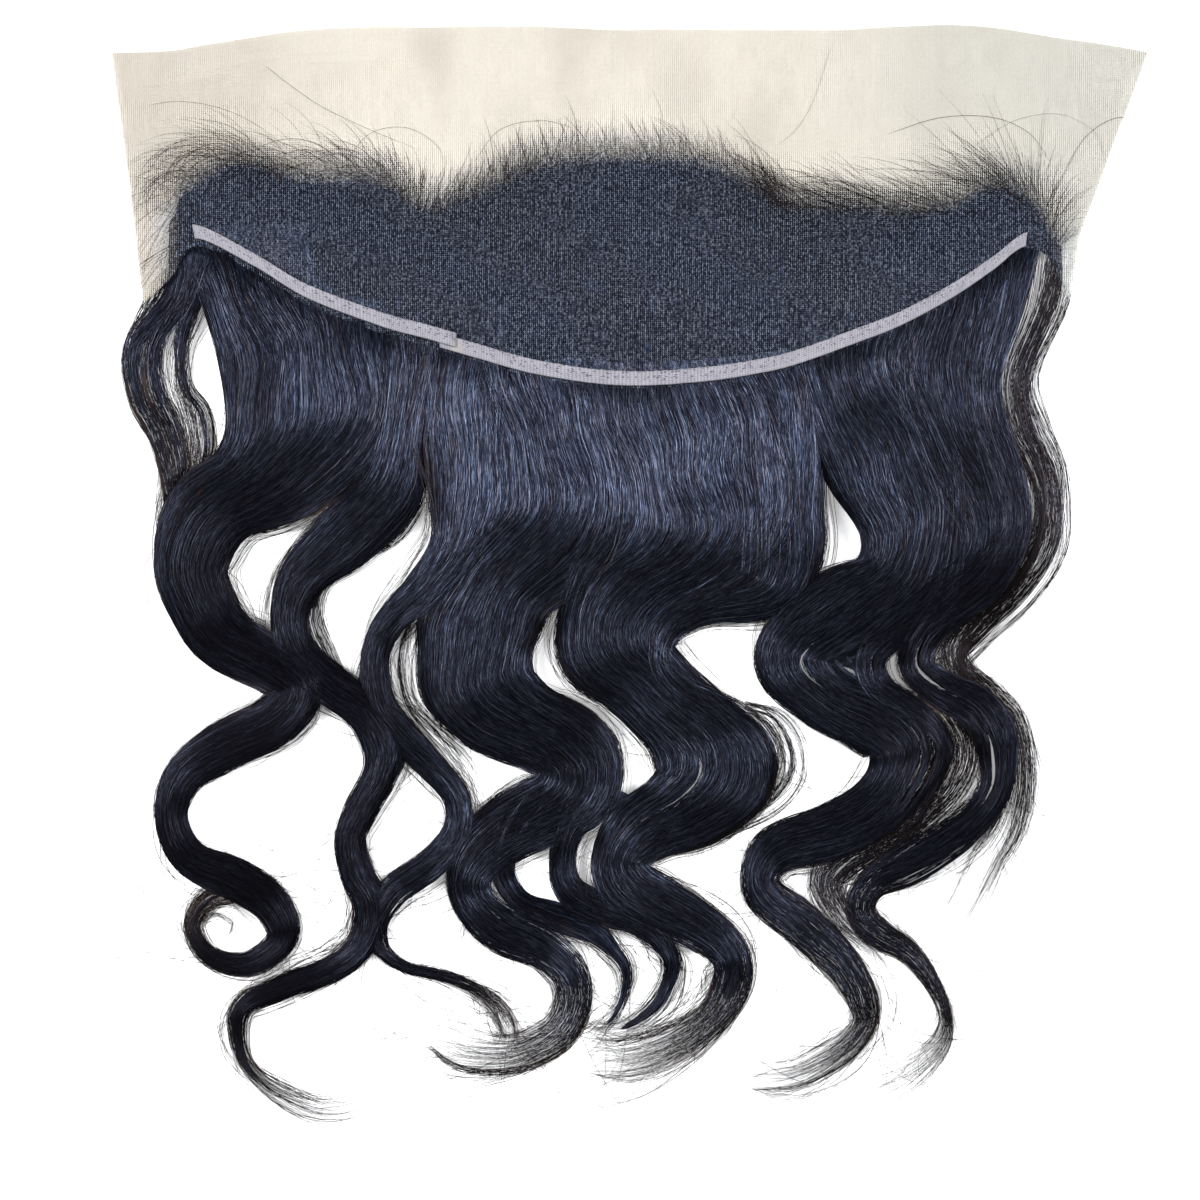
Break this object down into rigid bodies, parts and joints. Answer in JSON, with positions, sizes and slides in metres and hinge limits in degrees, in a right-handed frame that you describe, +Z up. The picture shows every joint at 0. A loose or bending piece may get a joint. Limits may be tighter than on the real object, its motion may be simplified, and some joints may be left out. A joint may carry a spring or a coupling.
{
  "type": "lace frontal hairpiece",
  "caption": "Ear-to-ear sheer lace hairpiece lying inner side up, with a sewn elastic band, a fine hairline fringe and long body-wave locks in three parted falls.",
  "frame": {"origin": "centre of the bounding box at the table surface", "axes": "+X towards the right ear corner as the picture shows it, +Y towards the cut front edge of the lace, +Z up from the table, inner side of the lace up"},
  "size_m": [0.393, 0.4056, 0.0132],
  "materials": {
    "lace": "sheer net, matte",
    "band": "woven elastic, matte",
    "hair": "soft sheen"
  },
  "bodies": {
    "root": {"lace_base": "lace", "elastic_band_left": "band", "elastic_band_right": "band", "hair_bed": "hair", "hair_fall_left": "hair", "hair_fall_centre": "hair", "hair_fall_right": "hair"}
  },
  "joints": []
}
